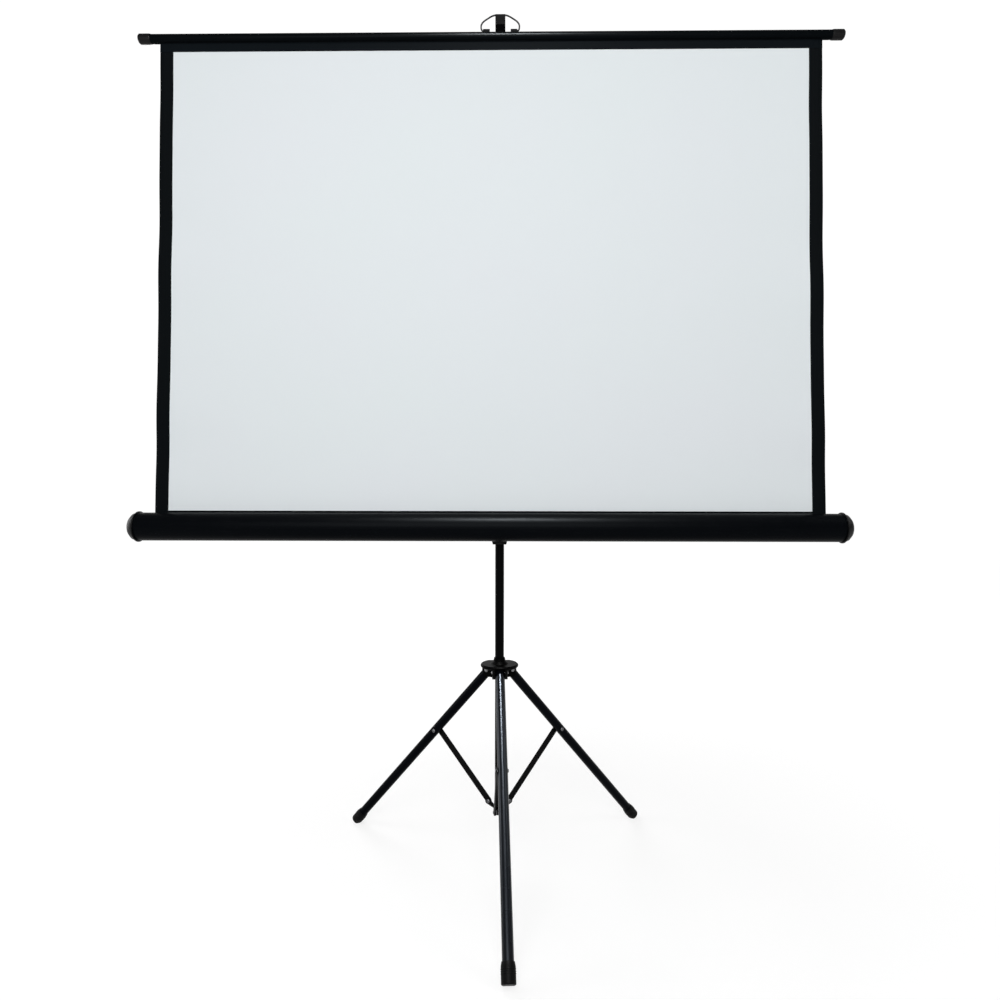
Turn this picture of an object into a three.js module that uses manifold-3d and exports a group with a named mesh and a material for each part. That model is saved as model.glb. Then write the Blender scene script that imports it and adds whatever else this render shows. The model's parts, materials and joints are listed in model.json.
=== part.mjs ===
// Tripod projector screen: a roller screen that is pulled up out of a tubular case and hooked on a telescopic
// pole, which stands on three folding legs. Lengths are millimetres, angles are degrees, +Z is up.
// While it is built the pole stands on the Z axis with the floor at z = 0 and the viewer on the -Y side.
import * as THREE from 'three';
import { mergeVertices } from 'three/addons/utils/BufferGeometryUtils.js';
import Module from 'manifold-3d';

const wasm = await Module();
wasm.setup();
const radians = THREE.MathUtils.degToRad;

// Fits and finish of the model
const gap = 0.3;
const turningGap = 0.5;
const overrun = 4;
const weldDistance = 0.001;
const tubeSides = 24;
const caseSides = 36;
const smallSides = 16;
const rivetSides = 12;
const arcSteps = 8;
const straight = 90;
const fullTurn = 360;

// Main tube of the pole
const poleRadius = 12;
const poleWall = 1.2;
const poleBottom = 129;
const poleTop = 1272;
const plugDepth = 16;
const plugFlange = 3;

// Clamping collar at the top of the main tube
const collarRadius = 17;
const collarGrip = 28;
const collarNeck = 22;
const lockBossRadius = 9;
const lockBossReach = 26;

// Telescopic extension
const extensionRadius = 10;
const extensionWall = 1;
const extensionBottom = 1080;
const bushHead = 8;
const bushDepth = 16;

// Lock knobs and their screws
const screwRadius = 3;
const knobRadius = 13.5;
const knobThickness = 11;
const knobLobe = 1.2;
const knobLobes = 6;

// Tripod legs
const legAzimuths = [-87, 33, 153];
const strutSides = [-1, 1, -1];
const legRadius = 12.5;
const legWall = 1.2;
const legSpread = 42.07;
const legOvershoot = 4;
const hubPivotRadius = 30;
const hubPivotHeight = 512.7;
const midRivetAlong = 260;

// Foot caps
const capRadius = 15.5;
const capLength = 40;
const capNeckRadius = 13.9;
const capFlare = 9;
const capChamfer = 1.6;
const capFloor = 7;
const footCut = 5;

// Sliding hub
const hubAbove = 17.5;
const hubBelow = 17.5;
const hubReach = 47.5;
const hubRoof = 5;
const earWall = 7.5;
const earCorner = 12;
const earCut = 13;
const hubNeckRadius = 24;
const hubPlateRadius = 51;
const hubPlateThickness = 9;
const hubPlateEdge = 2.5;
const hubPlateBack = 39.3;
const hubShoulderRadius = 16.5;
const hubShoulder = 7;
const hubNeckTopRadius = 14.6;
const hubNeckHeight = 16;
const hubBossRadius = 8;
const hubBossReach = 40;

// Struts and the lower bracket
const strutWidth = 17;
const strutThickness = 3;
const strutClear = 0.7;
const bracketPivotRadius = 40;
const bracketPivotHeight = 147;
const bracketRadius = 16;
const bracketTop = 143;
const lugThickness = 3;
const lugEndRadius = 9;
const lugRise = 8;

// Rivets of the legs
const hubPinRadius = 3;
const hubHeadRadius = 5.4;
const hubHeadHeight = 2.4;
const rivetRadius = 3;
const rivetHeadRadius = 5.2;
const rivetHeadHeight = 2.2;
const rivetTail = 0.4;

// Roller case
const caseHeight = 902;
const caseForward = 72;
const screenShift = -29;
const caseRadius = 37;
const caseWall = 1.2;
const caseLength = 1840;
const seamStep = 1.5;
const seamAngle = 188;
const seamLap = 4;
const slotWidth = 8;

// Case end caps
const flangeRadius = 40.5;
const flangeThickness = 3;
const bevelLength = 18;
const bevelKnee = 10;
const bevelRootRadius = 37.5;
const bevelKneeRadius = 34.5;
const bevelEndRadius = 26;
const endCapWall = 2.5;
const spigotDepth = 12;
const endBossRadius = 9;
const endBossDepth = 20;

// Roller and its spring
const rollerRadius = 14;
const rollerWall = 1;
const rollerOverhang = 4;
const rollRadius = 17;
const rollerPlugDepth = 30;
const rollerFlange = 3;
const rollerFlangeRadius = 15.5;
const rollerPinRadius = 3;
const spindleReach = 394;
const springRadius = 6;
const springStart = 36;

// Screen cloth
const clothWidth = 1778;
const clothThickness = 0.8;
const edgeBow = 2;
const bowSteps = 8;
const clothTop = 2204.7;

// Top bar, its caps and the knuckles of the bail
const barRadius = 12;
const barWall = 1.5;
const barLength = 1860;
const barCapRadius = 13.4;
const barCapLength = 33;
const barCapBevel = 3.5;
const barCapNose = 10.4;
const barCapShoulder = 4;
const barCapSeat = 16.5;
const knuckleInside = 28;
const knuckleWidth = 18;
const knuckleRise = 16;
const knuckleRadius = 5;
const knuckleSpread = 50;

// Bail and hook
const bailWireRadius = 2.25;
const bailReach = 62;
const bailLean = 20;
const bailHalfWidth = 51.5;
const bailSides = 8;
const bailSteps = 52;
const hookWidth = 27;
const hookBack = 13;
const hookDrop = 51.261;
const hookLip = 2.2;
const hookLipRise = 1.2;
const hookSlope = 8;
const hookTopRise = 4.6;
const hookSocket = 36;
const hookNose = 22;
const hookRivetRadius = 2;
const hookRivetHead = 3.6;
const notchWidth = 9;

// Case slider on the pole
const sliderWidth = 43;
const sliderFoot = 36;
const sliderAbove = 48;
const sliderBelow = 48;
const sliderTaper = 12;
const sleeveRadius = 18;
const boltRadius = 5;
const boltHeadRadius = 9;
const boltHeadHeight = 4;
const counterboreDepth = 5;
const sliderFront = 28.5;

// Saddle that carries the case
const saddleWidth = 90;
const saddleHeight = 40;
const saddleSpread = 24;
const saddleRivetPlace = 32;
const saddleRivetRadius = 2.5;
const saddleHeadRadius = 4;
const saddleHeadHeight = 1.8;
const saddleRecess = 2.2;

// Release trigger behind the slider
const triggerOut = 24;
const triggerUp = 22;
const triggerWidth = 13;
const cheekThickness = 3;
const cheekRadius = 6;
const cheekClear = 1.2;
const triggerPinRadius = 2;
const triggerPinHead = 3;
const triggerPinHeadHeight = 1.5;
const triggerBar = 4;
const triggerThumb = 26;
const triggerDrop = 22;
const toothHeight = 6;
const windowWidth = 15;
const windowHeight = 14;
const springWireRadius = 0.5;
const springCoilRadius = 2.9;
const springPitch = 1.4;
const springTurns = 3.5;
const springTurnSteps = 8;
const springSection = 5;
const springNotch = 7;

// Places that follow from the sizes above
const poleBore = poleRadius + gap;
const slidingBore = poleRadius + gap + weldDistance;
const collarBottom = poleTop - collarGrip;
const collarTop = poleTop + collarNeck;
const lockHeight = poleTop + collarNeck / 2;
const spread = radians(legSpread);
const legEnd = (hubPivotHeight + footCut - capRadius * Math.sin(spread)) / Math.cos(spread);
const legTubeEnd = legEnd - capFloor - gap;
const midRivetRadius = hubPivotRadius + midRivetAlong * Math.sin(spread);
const midRivetHeight = hubPivotHeight - midRivetAlong * Math.cos(spread);
const strutRun = midRivetRadius - bracketPivotRadius;
const strutRise = midRivetHeight - bracketPivotHeight;
const strutLength = Math.hypot(strutRun, strutRise);
const strutLean = Math.atan2(strutRun, strutRise);
const strutNear = legRadius + strutClear;
const strutFar = strutNear + strutThickness;
const lugFar = strutNear - rivetTail;
const lugNear = lugFar - lugThickness;
const slotHalf = legRadius + turningGap;
const earHalf = slotHalf + earWall;
const legCorner = Math.hypot(legOvershoot, legRadius);
const slotStart = hubPivotRadius - legCorner - turningGap;
const caseEnd = caseLength / 2;
const clothForward = caseForward - rollRadius;
const clothPlane = clothForward - gap - clothThickness / 2;
const clothBottom = caseHeight + clothThickness;
const clothFromAxis = caseForward - clothPlane;
const rollerLength = clothWidth + 2 * rollerOverhang;
const rollerEnd = rollerLength / 2;
const barHeight = clothTop + gap + barRadius;
const bailPivotHeight = barHeight + knuckleRise;
const bailTopHeight = bailPivotHeight + bailReach * Math.cos(radians(bailLean));
const bailTopForward = clothPlane - bailReach * Math.sin(radians(bailLean));
const hookBottom = bailTopHeight - hookDrop;
const hookTop = bailTopHeight + hookTopRise;
const hookFront = bailTopForward + notchWidth / 2 + hookLip;
const extensionTop = hookBottom + hookSocket - gap;
const saddleBack = sliderFront + turningGap;

// Shapes that follow their sizes as shares
const domeShares = [[1, 0], [0.62, 0.82], [0, 1]];
const bailShares = [[0.72, 0], [0.8, 0], [0.88, 0], [0.91, 0], [0.968, 0.06], [1, 0.2], [0.99, 0.39],
  [0.89, 0.58], [0.7, 0.75], [0.5, 0.9], [0.36, 0.975], [0.24, 1]];

// Materials
const looks = {
  satinBlack: { color: 0x16171b, roughness: 0.38, metalness: 0.5 },
  caseBlack: { color: 0x14161d, roughness: 0.32, metalness: 0.5 },
  plasticBlack: { color: 0x111214, roughness: 0.55, metalness: 0 },
  rubber: { color: 0x17181a, roughness: 0.85, metalness: 0 },
  steel: { color: 0xa9acb0, roughness: 0.35, metalness: 0.9 },
  springSteel: { color: 0x6f7276, roughness: 0.4, metalness: 0.9 },
  cloth: { color: 0xdfe3ea, roughness: 0.9, metalness: 0 },
};

// A closed geometry as a solid, its shared corners merged and its faces pointing out.
function solidOf(geometry) {
  const bare = new THREE.BufferGeometry();
  bare.setAttribute('position', geometry.getAttribute('position').clone());
  if (geometry.index) bare.setIndex(geometry.index.clone());
  const merged = mergeVertices(bare, weldDistance);
  const corners = merged.index.array;
  const triangles = [];
  for (let i = 0; i < corners.length; i += 3) {
    const [a, b, c] = [corners[i], corners[i + 1], corners[i + 2]];
    if (a !== b && b !== c && c !== a) triangles.push(a, b, c);
  }
  const build = (triVerts) => new wasm.Manifold(new wasm.Mesh({
    numProp: 3,
    vertProperties: new Float32Array(merged.attributes.position.array),
    triVerts: new Uint32Array(triVerts),
  }));
  const made = build(triangles);
  if (made.volume() > 0) return made;
  return build(triangles.toReversed());
}

// The solid's surface as a geometry with flat normals.
function geometryOf(made) {
  const mesh = made.getMesh();
  const indexed = new THREE.BufferGeometry();
  indexed.setAttribute('position', new THREE.BufferAttribute(mesh.vertProperties, mesh.numProp));
  indexed.setIndex(new THREE.BufferAttribute(mesh.triVerts, 1));
  const flat = indexed.toNonIndexed();
  flat.computeVertexNormals();
  return flat;
}

function join(...geometries) {
  return geometryOf(geometries.map(solidOf).reduce((whole, next) => whole.add(next)));
}

function cut(geometry, ...tools) {
  return geometryOf(tools.map(solidOf).reduce((rest, tool) => rest.subtract(tool), solidOf(geometry)));
}

// A profile of [radius, height] pairs turned about +Z. One that doesn't meet the axis is closed on itself.
function turned(profile, sides) {
  const points = profile.map(([radius, height]) => new THREE.Vector2(radius, height));
  if (profile[0][0] > 0) points.push(points[0].clone());
  return geometryOf(solidOf(new THREE.LatheGeometry(points, sides).rotateX(Math.PI / 2)));
}

function ring(outer, inner, from, to, sides) {
  return turned([[inner, from], [outer, from], [outer, to], [inner, to]], sides);
}

function rod(radius, from, to, sides = smallSides) {
  const length = to - from;
  const upright = new THREE.CylinderGeometry(radius, radius, length, sides).rotateX(Math.PI / 2);
  return upright.translate(0, 0, from + length / 2);
}

// What is built along +Z, laid along +X or +Y.
const alongX = (geometry) => geometry.rotateY(Math.PI / 2);
const alongY = (geometry) => geometry.rotateX(-Math.PI / 2);

function block([x0, x1], [y0, y1], [z0, z1]) {
  const box = new THREE.BoxGeometry(x1 - x0, y1 - y0, z1 - z0);
  return box.translate((x0 + x1) / 2, (y0 + y1) / 2, (z0 + z1) / 2);
}

// An outline of [across, up] pairs given a thickness along +Z.
function plate(outline, from, to) {
  const shape = new THREE.Shape(outline.map(([across, up]) => new THREE.Vector2(across, up)));
  const slab = new THREE.ExtrudeGeometry(shape, { depth: to - from, bevelEnabled: false });
  return slab.translate(0, 0, from);
}

// The same with the outline in x and z and the thickness along Y.
function frontPlate(outline, from, to) {
  return plate(outline, -to, -from).rotateX(Math.PI / 2);
}

// The same with the outline in y and z and the thickness along X.
function sidePlate(outline, from, to) {
  const turn = new THREE.Matrix4().makeBasis(
    new THREE.Vector3(0, 1, 0),
    new THREE.Vector3(0, 0, 1),
    new THREE.Vector3(1, 0, 0),
  );
  return plate(outline, from, to).applyMatrix4(turn);
}

// Points on an arc about [x, y], with the angles in degrees.
function arc(x, y, radius, from, to, steps = arcSteps) {
  return Array.from({ length: steps + 1 }, (_, i) => {
    const angle = radians(from + (to - from) * i / steps);
    return [x + radius * Math.cos(angle), y + radius * Math.sin(angle)];
  });
}

// A round wire along a curve.
function wire(path, radius, sides, steps) {
  const section = arc(0, 0, radius, 0, fullTurn, sides).slice(0, -1).map(([x, y]) => new THREE.Vector2(x, y));
  return new THREE.ExtrudeGeometry(new THREE.Shape(section), { steps, extrudePath: path, bevelEnabled: false });
}

// A rivet along +Z: a shank, and a domed head past each end that has one.
function rivet(shank, from, to, head, height, headBelow = true, headAbove = true) {
  const profile = [];
  if (headBelow) {
    domeShares.toReversed().forEach(([across, up]) => profile.push([head * across, from - height * up]));
    profile.push([shank, from]);
  } else profile.push([0, from], [shank, from]);
  if (headAbove) {
    profile.push([shank, to]);
    domeShares.forEach(([across, up]) => profile.push([head * across, to + height * up]));
  } else profile.push([shank, to], [0, to]);
  return turned(profile, rivetSides);
}

function piece(name, geometry, look) {
  const mesh = new THREE.Mesh(geometry, new THREE.MeshStandardMaterial(look));
  mesh.name = name;
  return mesh;
}

function groupAt(x, y, z, ...meshes) {
  const group = new THREE.Group();
  group.position.set(x, y, z);
  group.add(...meshes);
  return group;
}

// A lobed knob on a screw along +Y, whose tip stops short of the tube that it clamps.
function knob(tip, seat) {
  const steps = knobLobes * arcSteps;
  const rim = Array.from({ length: steps }, (_, i) => {
    const angle = 2 * Math.PI * i / steps;
    const radius = knobRadius + knobLobe * Math.cos(knobLobes * angle);
    return [radius * Math.cos(angle), radius * Math.sin(angle)];
  });
  return alongY(join(plate(rim, seat, seat + knobThickness), rod(screwRadius, tip, seat + gap)));
}

function makePole() {
  const tube = ring(poleRadius, poleRadius - poleWall, poleBottom, poleTop, tubeSides);
  const plugRadius = poleRadius - poleWall - gap;
  const plug = turned([
    [0, poleBottom - gap - plugFlange],
    [poleRadius, poleBottom - gap - plugFlange],
    [poleRadius, poleBottom - gap],
    [plugRadius, poleBottom - gap],
    [plugRadius, poleBottom + plugDepth],
    [0, poleBottom + plugDepth],
  ], smallSides);
  const extensionBore = extensionRadius + gap;
  const sleeve = turned([
    [poleBore, collarBottom],
    [collarRadius, collarBottom],
    [collarRadius, collarTop],
    [extensionBore, collarTop],
    [extensionBore, poleTop + gap],
    [poleBore, poleTop + gap],
  ], tubeSides);
  const boss = alongY(rod(lockBossRadius, (extensionRadius + collarRadius) / 2, lockBossReach))
    .translate(0, 0, lockHeight);
  const screwHole = alongY(rod(screwRadius + gap, 0, lockBossReach + overrun)).translate(0, 0, lockHeight);
  return [
    piece('main_tube', tube, looks.satinBlack),
    piece('pole_plug', plug, looks.plasticBlack),
    piece('pole_collar', cut(join(sleeve, boss), screwHole), looks.plasticBlack),
  ];
}

// The lug of one strut, seen from the side: [radius, height] from the pole's axis and the floor.
function lugOutline() {
  return [
    [0, poleBottom],
    [bracketRadius - poleWall, poleBottom],
    ...arc(bracketPivotRadius, bracketPivotHeight, lugEndRadius, -straight / 2, straight),
    [bracketRadius + lugRise, bracketTop],
    [0, bracketTop],
  ];
}

function makeLowerBracket() {
  const collar = ring(bracketRadius, poleBore, poleBottom, bracketTop, tubeSides);
  const lugs = legAzimuths.map((azimuth, i) => {
    const faces = [strutSides[i] * lugNear, strutSides[i] * lugFar].sort((a, b) => a - b);
    const hole = alongY(rod(rivetRadius + gap, faces[0] - overrun, faces[1] + overrun))
      .translate(bracketPivotRadius, 0, bracketPivotHeight);
    return cut(frontPlate(lugOutline(), ...faces), hole).rotateZ(radians(azimuth));
  });
  const bore = rod(poleBore, poleBottom - overrun, bracketTop + overrun, tubeSides);
  return piece('lower_bracket', cut(join(collar, ...lugs), bore), looks.satinBlack);
}

// Runs a rivet's near and far ends outwards on the strut's side of a leg.
function sideways(geometry, side) {
  return side > 0 ? alongY(geometry) : alongY(geometry).rotateZ(Math.PI);
}

function makeLeg(i) {
  const frame = new THREE.Group();
  frame.rotation.z = radians(legAzimuths[i]);
  const number = i + 1;
  const side = strutSides[i];

  const tube = ring(legRadius, legRadius - legWall, -legTubeEnd, legOvershoot, tubeSides);
  const across = legRadius + overrun;
  const pinHole = alongY(rod(hubPinRadius + gap, -across, across));
  const midHole = alongY(rod(rivetRadius + gap, -across, across)).translate(0, 0, -midRivetAlong);
  const cap = turned([
    [0, -legEnd],
    [capRadius - capChamfer, -legEnd],
    [capRadius, -legEnd + capChamfer],
    [capRadius, -legEnd + capLength - capFlare],
    [capNeckRadius, -legEnd + capLength],
    [legRadius + gap, -legEnd + capLength],
    [legRadius + gap, -legEnd + capFloor],
    [0, -legEnd + capFloor],
  ], tubeSides);
  const leg = groupAt(
    hubPivotRadius, 0, hubPivotHeight,
    piece(`leg_tube_${number}`, cut(tube, pinHole, midHole), looks.satinBlack),
  );
  leg.rotation.y = -spread;
  leg.updateMatrix();
  const reach = legEnd + capLength;
  const floor = block([-reach, reach], [-reach, reach], [-reach, 0]).applyMatrix4(leg.matrix.clone().invert());
  leg.add(piece(`foot_cap_${number}`, cut(cap, floor), looks.rubber));
  const legRivet = sideways(
    rivet(rivetRadius, -legRadius - gap, legRadius + rivetTail, rivetHeadRadius, rivetHeadHeight, true, false),
    side,
  );
  leg.add(piece(`leg_rivet_${number}`, legRivet.translate(0, 0, -midRivetAlong), looks.steel));

  const pin = rivet(hubPinRadius, -earHalf - gap, earHalf + gap, hubHeadRadius, hubHeadHeight);
  frame.add(groupAt(hubPivotRadius, 0, hubPivotHeight, piece(`hub_pin_${number}`, alongY(pin), looks.steel)));

  const bar = [
    ...arc(0, strutLength, strutWidth / 2, 0, 2 * straight),
    ...arc(0, 0, strutWidth / 2, 2 * straight, fullTurn),
  ];
  const faces = [side * strutNear, side * strutFar].sort((a, b) => a - b);
  const hole = alongY(rod(rivetRadius + gap, faces[0] - overrun, faces[1] + overrun));
  const strutRivet = sideways(
    rivet(rivetRadius, strutNear, strutFar + gap, rivetHeadRadius, rivetHeadHeight, false, true),
    side,
  );
  const strut = groupAt(
    bracketPivotRadius, 0, bracketPivotHeight,
    piece(
      `strut_${number}`,
      cut(frontPlate(bar, ...faces), hole, hole.clone().translate(0, 0, strutLength)),
      looks.satinBlack,
    ),
    piece(`strut_rivet_${number}`, strutRivet.translate(0, 0, strutLength), looks.steel),
  );
  strut.rotation.y = strutLean;
  const bracketRivet = sideways(
    rivet(rivetRadius, lugNear - gap, strutFar + gap, rivetHeadRadius, rivetHeadHeight),
    side,
  );
  frame.add(leg, strut, groupAt(
    bracketPivotRadius, 0, bracketPivotHeight,
    piece(`bracket_rivet_${number}`, bracketRivet, looks.steel),
  ));
  return frame;
}

// The hub, with its three clevises, about the height of the leg pivots.
function makeHub() {
  const neck = turned([
    [slidingBore, -hubBelow],
    [hubNeckRadius, -hubBelow],
    [hubNeckRadius, hubAbove],
    [hubShoulderRadius, hubAbove + hubShoulder],
    [hubNeckTopRadius, hubAbove + hubNeckHeight],
    [slidingBore, hubAbove + hubNeckHeight],
  ], tubeSides);
  const plateBottom = hubAbove - hubPlateThickness;
  const round = turned([
    [hubShoulderRadius, plateBottom],
    [hubPlateRadius - hubPlateEdge, plateBottom],
    [hubPlateRadius, plateBottom + hubPlateEdge],
    [hubPlateRadius, hubAbove - hubPlateEdge],
    [hubPlateRadius - hubPlateEdge, hubAbove],
    [hubShoulderRadius, hubAbove],
  ], caseSides);
  const earOutline = [
    [0, -earHalf],
    ...arc(hubReach - earCorner, -earHalf + earCorner, earCorner, -straight, 0, arcSteps / 2),
    ...arc(hubReach - earCorner, earHalf - earCorner, earCorner, 0, straight, arcSteps / 2),
    [0, earHalf],
  ];
  const corner = [
    [hubReach - earCut, -hubBelow],
    [hubReach, -hubBelow + earCut],
    [hubReach + overrun, -hubBelow + earCut],
    [hubReach + overrun, -hubBelow - overrun],
    [hubReach - earCut, -hubBelow - overrun],
  ];
  const ears = [];
  const cuts = [rod(slidingBore, -hubBelow - overrun, hubAbove + hubNeckHeight + overrun, tubeSides)];
  for (const azimuth of legAzimuths.map(radians)) {
    ears.push(plate(earOutline, -hubBelow, hubAbove).rotateZ(azimuth));
    cuts.push(
      block([slotStart, hubReach + overrun], [-slotHalf, slotHalf], [-hubBelow - overrun, hubAbove - hubRoof])
        .rotateZ(azimuth),
      frontPlate(corner, -earHalf - overrun, earHalf + overrun).rotateZ(azimuth),
      alongY(rod(hubPinRadius + gap, -earHalf - overrun, earHalf + overrun))
        .translate(hubPivotRadius, 0, 0).rotateZ(azimuth),
    );
  }
  const back = radians(legAzimuths[0] + straight);
  const boss = alongY(rod(hubBossRadius, hubShoulderRadius, hubBossReach)).rotateZ(back);
  const knobRoom = block(
    [-hubPlateRadius, hubPlateRadius],
    [hubPlateBack, hubPlateRadius + overrun],
    [plateBottom - overrun, hubAbove + overrun],
  ).rotateZ(back);
  cuts.push(alongY(rod(screwRadius + gap, 0, hubBossReach + overrun)).rotateZ(back));
  const lock = piece('hub_lock_knob', knob(poleBore, hubBossReach + gap), looks.plasticBlack);
  lock.rotation.z = back;
  const hub = piece('leg_hub', cut(join(neck, cut(round, knobRoom), ...ears, boss), ...cuts), looks.satinBlack);
  return groupAt(0, 0, hubPivotHeight, hub, lock);
}

// The slider and its trigger, about the height of the case pivot.
function makeSlider() {
  const front = [
    [-sliderFoot / 2, -sliderBelow],
    [sliderFoot / 2, -sliderBelow],
    [sliderWidth / 2, -sliderBelow + sliderTaper],
    [sliderWidth / 2, sliderAbove],
    [-sliderWidth / 2, sliderAbove],
    [-sliderWidth / 2, -sliderBelow + sliderTaper],
  ];
  const cheekInside = triggerWidth / 2 + cheekClear;
  const cheekOutline = [
    ...arc(triggerOut, triggerUp, cheekRadius, -straight, straight),
    [poleRadius + gap, triggerUp + cheekRadius],
    [poleRadius + gap, triggerUp - cheekRadius],
  ];
  const cheeks = [-1, 1].map((side) => {
    const faces = [side * cheekInside, side * (cheekInside + cheekThickness)].sort((a, b) => a - b);
    return sidePlate(cheekOutline, ...faces);
  });
  const body = join(
    frontPlate(front, -sliderFront, 0),
    rod(sleeveRadius, -sliderBelow, sliderAbove, tubeSides),
    ...cheeks,
  );
  const pinHole = alongX(rod(triggerPinRadius + gap, -sliderWidth, sliderWidth, rivetSides))
    .translate(0, triggerOut, triggerUp);
  const windowLow = triggerUp - triggerDrop - windowHeight / 2;
  const slider = cut(
    body,
    rod(slidingBore, -sliderBelow - overrun, sliderAbove + overrun, tubeSides),
    alongY(rod(boltHeadRadius + gap, -poleRadius - counterboreDepth, 0)),
    alongY(rod(boltRadius + gap, -sliderFront - overrun, 0)),
    block(
      [-windowWidth / 2, windowWidth / 2],
      [0, sleeveRadius + overrun],
      [windowLow, windowLow + windowHeight],
    ),
    pinHole,
  );
  const headBack = poleRadius + counterboreDepth - gap;
  const bolt = join(
    alongY(rod(boltHeadRadius, -headBack, -headBack + boltHeadHeight)),
    alongY(rod(boltRadius, -caseForward + caseRadius + 2 * gap, -headBack + gap)),
  );
  return groupAt(
    0, 0, caseHeight,
    piece('case_slider', slider, looks.plasticBlack),
    piece('pivot_bolt', bolt, looks.steel),
    ...makeTrigger(cheekInside),
  );
}

// A rocking lever: its thumb pad above the pin, its tooth below, in the slider's window.
function makeTrigger(cheekInside) {
  const half = triggerBar;
  const tip = poleBore - triggerOut;
  const outline = [
    [-half, -toothHeight],
    [-half, half],
    [-half / 2, half + triggerThumb / 2],
    [half, triggerThumb],
    [2 * half, triggerThumb],
    [half, half],
    [half, -triggerDrop - toothHeight / 2],
    [tip, -triggerDrop - toothHeight / 2],
    [tip, -triggerDrop],
    [0, -triggerDrop + toothHeight / 2],
    [0, -toothHeight],
  ].map(([y, z]) => [y + triggerOut, z + triggerUp]);
  const notch = springNotch / 2;
  const lever = cut(
    sidePlate(outline, -triggerWidth / 2, triggerWidth / 2),
    alongX(rod(triggerPinRadius + gap, -triggerWidth, triggerWidth, rivetSides))
      .translate(0, triggerOut, triggerUp),
    block(
      [-notch, notch],
      [triggerOut - half - overrun, triggerOut + half + overrun],
      [triggerUp - notch, triggerUp + notch],
    ),
  );
  const pinEnd = cheekInside + cheekThickness + gap;
  const pin = alongX(rivet(triggerPinRadius, -pinEnd, pinEnd, triggerPinHead, triggerPinHeadHeight));
  const turns = springTurns * springTurnSteps;
  const helix = Array.from({ length: turns + 1 }, (_, i) => {
    const angle = 2 * Math.PI * i / springTurnSteps;
    const along = springPitch * (i / springTurnSteps - springTurns / 2);
    return new THREE.Vector3(along, springCoilRadius * Math.cos(angle), springCoilRadius * Math.sin(angle));
  });
  const coil = wire(new THREE.CatmullRomCurve3(helix), springWireRadius, springSection, turns);
  return [
    piece('case_trigger', lever, looks.plasticBlack),
    piece('trigger_pin', pin.translate(0, triggerOut, triggerUp), looks.steel),
    piece('trigger_spring', geometryOf(solidOf(coil.translate(0, triggerOut, triggerUp))), looks.springSteel),
  ];
}

// The saddle between slider and case, riveted to the back of the case tube.
function makeSaddle() {
  const seat = caseRadius + gap;
  const half = saddleHeight / 2;
  const reach = Math.asin(saddleSpread / seat) * fullTurn / (2 * Math.PI);
  const outline = [
    [-saddleBack, -half],
    [-saddleBack, half],
    [-saddleBack - (saddleSpread - half), saddleSpread],
    ...arc(-caseForward, 0, seat, reach, -reach),
    [-saddleBack - (saddleSpread - half), -saddleSpread],
  ];
  const throughSaddle = (radius) => alongY(rod(radius, -caseForward, 0));
  const recess = alongY(rod(saddleHeadRadius + gap, -saddleBack - saddleRecess, 0));
  const places = [-saddleRivetPlace, saddleRivetPlace];
  const saddle = cut(
    sidePlate(outline, -saddleWidth / 2, saddleWidth / 2),
    throughSaddle(boltRadius + gap),
    ...places.map((x) => throughSaddle(saddleRivetRadius + gap).translate(x, 0, 0)),
    ...places.map((x) => recess.clone().translate(x, 0, 0)),
  );
  const outside = -saddleBack - saddleRecess + gap;
  const inside = -caseForward + caseRadius - caseWall - gap;
  const fastener = alongY(rivet(saddleRivetRadius, inside, outside, saddleHeadRadius, saddleHeadHeight - gap));
  return groupAt(
    0, 0, caseHeight,
    piece('case_saddle', saddle, looks.satinBlack),
    ...places.map((x, i) => piece(`saddle_rivet_${i + 1}`, fastener.clone().translate(x, 0, 0), looks.steel)),
  );
}

// The case tube, about its own axis: a rolled section with a seam along its front and a slot along its top.
function makeHousing() {
  const lip = (offset) => Math.acos((clothFromAxis + offset) / caseRadius) * fullTurn / (2 * Math.PI);
  const slotFront = lip(-slotWidth / 2);
  const slotBack = lip(slotWidth / 2);
  const bottom = 3 * straight;
  // The lower front grows from the seam back to the full radius at the bottom.
  const lower = (inset) => arc(0, 0, 1, seamAngle, bottom, arcSteps).map(([y, z], i) => {
    const radius = caseRadius - seamStep * (1 - i / arcSteps) - inset;
    return [y * radius, z * radius];
  });
  const innerSeam = seamAngle - seamLap;
  const inner = caseRadius - caseWall;
  const outline = [
    ...arc(0, 0, caseRadius, slotFront, seamAngle, 2 * arcSteps),
    ...lower(0),
    ...arc(0, 0, caseRadius, bottom, fullTurn + slotBack, 2 * arcSteps).slice(1),
    ...arc(0, 0, inner, fullTurn + slotBack, bottom, 2 * arcSteps),
    ...lower(caseWall).toReversed().slice(1),
    ...arc(0, 0, inner - seamStep, seamAngle, innerSeam, 1).slice(1),
    ...arc(0, 0, inner, innerSeam, slotFront, 2 * arcSteps),
  ];
  const holes = [-saddleRivetPlace, saddleRivetPlace].map((x) => (
    alongY(rod(saddleRivetRadius + gap, 0, caseRadius + overrun)).translate(x - screenShift, 0, 0)
  ));
  return cut(sidePlate(outline, -caseEnd, caseEnd), ...holes);
}

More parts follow.
